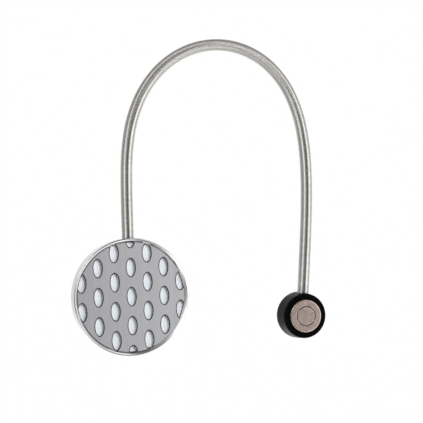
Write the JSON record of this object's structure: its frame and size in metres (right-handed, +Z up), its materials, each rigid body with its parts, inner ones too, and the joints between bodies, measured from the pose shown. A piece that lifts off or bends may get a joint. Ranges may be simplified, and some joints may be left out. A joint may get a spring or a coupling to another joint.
{
  "type": "magnetic curtain tieback",
  "caption": "Magnetic curtain tieback: a round decorative head with oval cut-outs in a chrome rim, a flexible close-wound spring arm and a black puck whose magnet clamps behind the head.",
  "frame": {"origin": "centre of the magnet face on the back of the head", "axes": "+Y out of the head's back, away from its decorative front; +Z up the arm where it leaves the head; the arm's bend lies in the XZ plane and the puck is at +X"},
  "size_m": [0.1134, 0.0099, 0.1348],
  "materials": {
    "chrome_shell": "polished chrome plating on a die-cast shell, mirror bright",
    "satin_face_plate": "satin metal with a faint vertical brushing, dark window edges",
    "bright_backing": "bright satin surface with a slight blue cast",
    "black_plastic": "fine-textured black moulding",
    "nickel_magnet": "nickel plating, warm grey, low sheen",
    "spring_steel": "bright stainless wire, close wound, with fine ribs across the arm",
    "annealed_core_wire": "dull annealed wire",
    "plug_steel": "turned steel"
  },
  "bodies": {
    "head": {"head_shell": "chrome_shell", "face_plate": "satin_face_plate", "backing_disc": "bright_backing", "back_cover": "black_plastic", "head_pot_cup": "nickel_magnet", "head_magnet": "nickel_magnet", "root_plug": "plug_steel", "arm_spring_01": "spring_steel", "arm_core_01": "annealed_core_wire", "arm_spring_02": "spring_steel", "arm_core_02": "annealed_core_wire"},
    "arm_03": {"arm_spring_03": "spring_steel", "arm_core_03": "annealed_core_wire", "arm_spring_04": "spring_steel", "arm_core_04": "annealed_core_wire"},
    "arm_05": {"arm_spring_05": "spring_steel", "arm_core_05": "annealed_core_wire", "arm_spring_06": "spring_steel", "arm_core_06": "annealed_core_wire"},
    "arm_07": {"arm_spring_07": "spring_steel", "arm_core_07": "annealed_core_wire", "arm_spring_08": "spring_steel", "arm_core_08": "annealed_core_wire"},
    "arm_09": {"arm_spring_09": "spring_steel", "arm_core_09": "annealed_core_wire", "arm_spring_10": "spring_steel", "arm_core_10": "annealed_core_wire"},
    "arm_11": {"arm_spring_11": "spring_steel", "arm_core_11": "annealed_core_wire", "arm_spring_12": "spring_steel", "arm_core_12": "annealed_core_wire"},
    "arm_13": {"arm_spring_13": "spring_steel", "arm_core_13": "annealed_core_wire", "arm_spring_14": "spring_steel", "arm_core_14": "annealed_core_wire"},
    "puck": {"arm_spring_15": "spring_steel", "arm_core_15": "annealed_core_wire", "arm_spring_16": "spring_steel", "arm_core_16": "annealed_core_wire", "end_plug": "plug_steel", "puck_housing": "black_plastic", "puck_pot_cup": "nickel_magnet", "puck_magnet": "nickel_magnet"}
  },
  "joints": [
    {"name": "arm_bend", "type": "hinge", "parent": "head", "child": "arm_03", "pos_m": [0.00038, -0.0029, 0.05446], "axis": [-0.2533, 0.9673, 0.0105], "range_deg": [-6.7, 4.08]},
    {"name": "arm_wrap", "type": "hinge", "parent": "arm_03", "child": "arm_05", "pos_m": [0.00661, -0.0029, 0.08304], "axis": [0.1948, 0.8935, 0.4045], "range_deg": [-8.44, 8.44]},
    {"name": "arm_bend_02", "type": "hinge", "parent": "arm_05", "child": "arm_07", "pos_m": [0.02683, -0.0029, 0.10369], "axis": [-0.0229, 0.999, 0.0382], "range_deg": [-9.57, 5.84]},
    {"name": "arm_wrap_02", "type": "hinge", "parent": "arm_07", "child": "arm_09", "pos_m": [0.05546, -0.0029, 0.10489], "axis": [0.3687, 0.9257, -0.0851], "range_deg": [-11.22, 11.22]},
    {"name": "arm_bend_03", "type": "hinge", "parent": "arm_09", "child": "arm_11", "pos_m": [0.07614, -0.0029, 0.08492], "axis": [-0.1585, 0.9853, -0.0644], "range_deg": [-12.43, 7.58]},
    {"name": "arm_wrap_03", "type": "hinge", "parent": "arm_11", "child": "arm_13", "pos_m": [0.08222, -0.0029, 0.0563], "axis": [0.1239, 0.9499, -0.2869], "range_deg": [-14, 14]},
    {"name": "arm_bend_04", "type": "hinge", "parent": "arm_13", "child": "puck", "pos_m": [0.08146, -0.0029, 0.02686], "axis": [-0.3626, 0.9312, 0.0368], "range_deg": [-15.29, 9.33]}
  ],
  "couplings": [
    {"joint": "arm_bend_02", "follows": "arm_bend", "ratio": 1.4271},
    {"joint": "arm_wrap_02", "follows": "arm_wrap", "ratio": 1.3286},
    {"joint": "arm_bend_03", "follows": "arm_bend", "ratio": 1.8542},
    {"joint": "arm_wrap_03", "follows": "arm_wrap", "ratio": 1.6572},
    {"joint": "arm_bend_04", "follows": "arm_bend", "ratio": 2.2813}
  ]
}
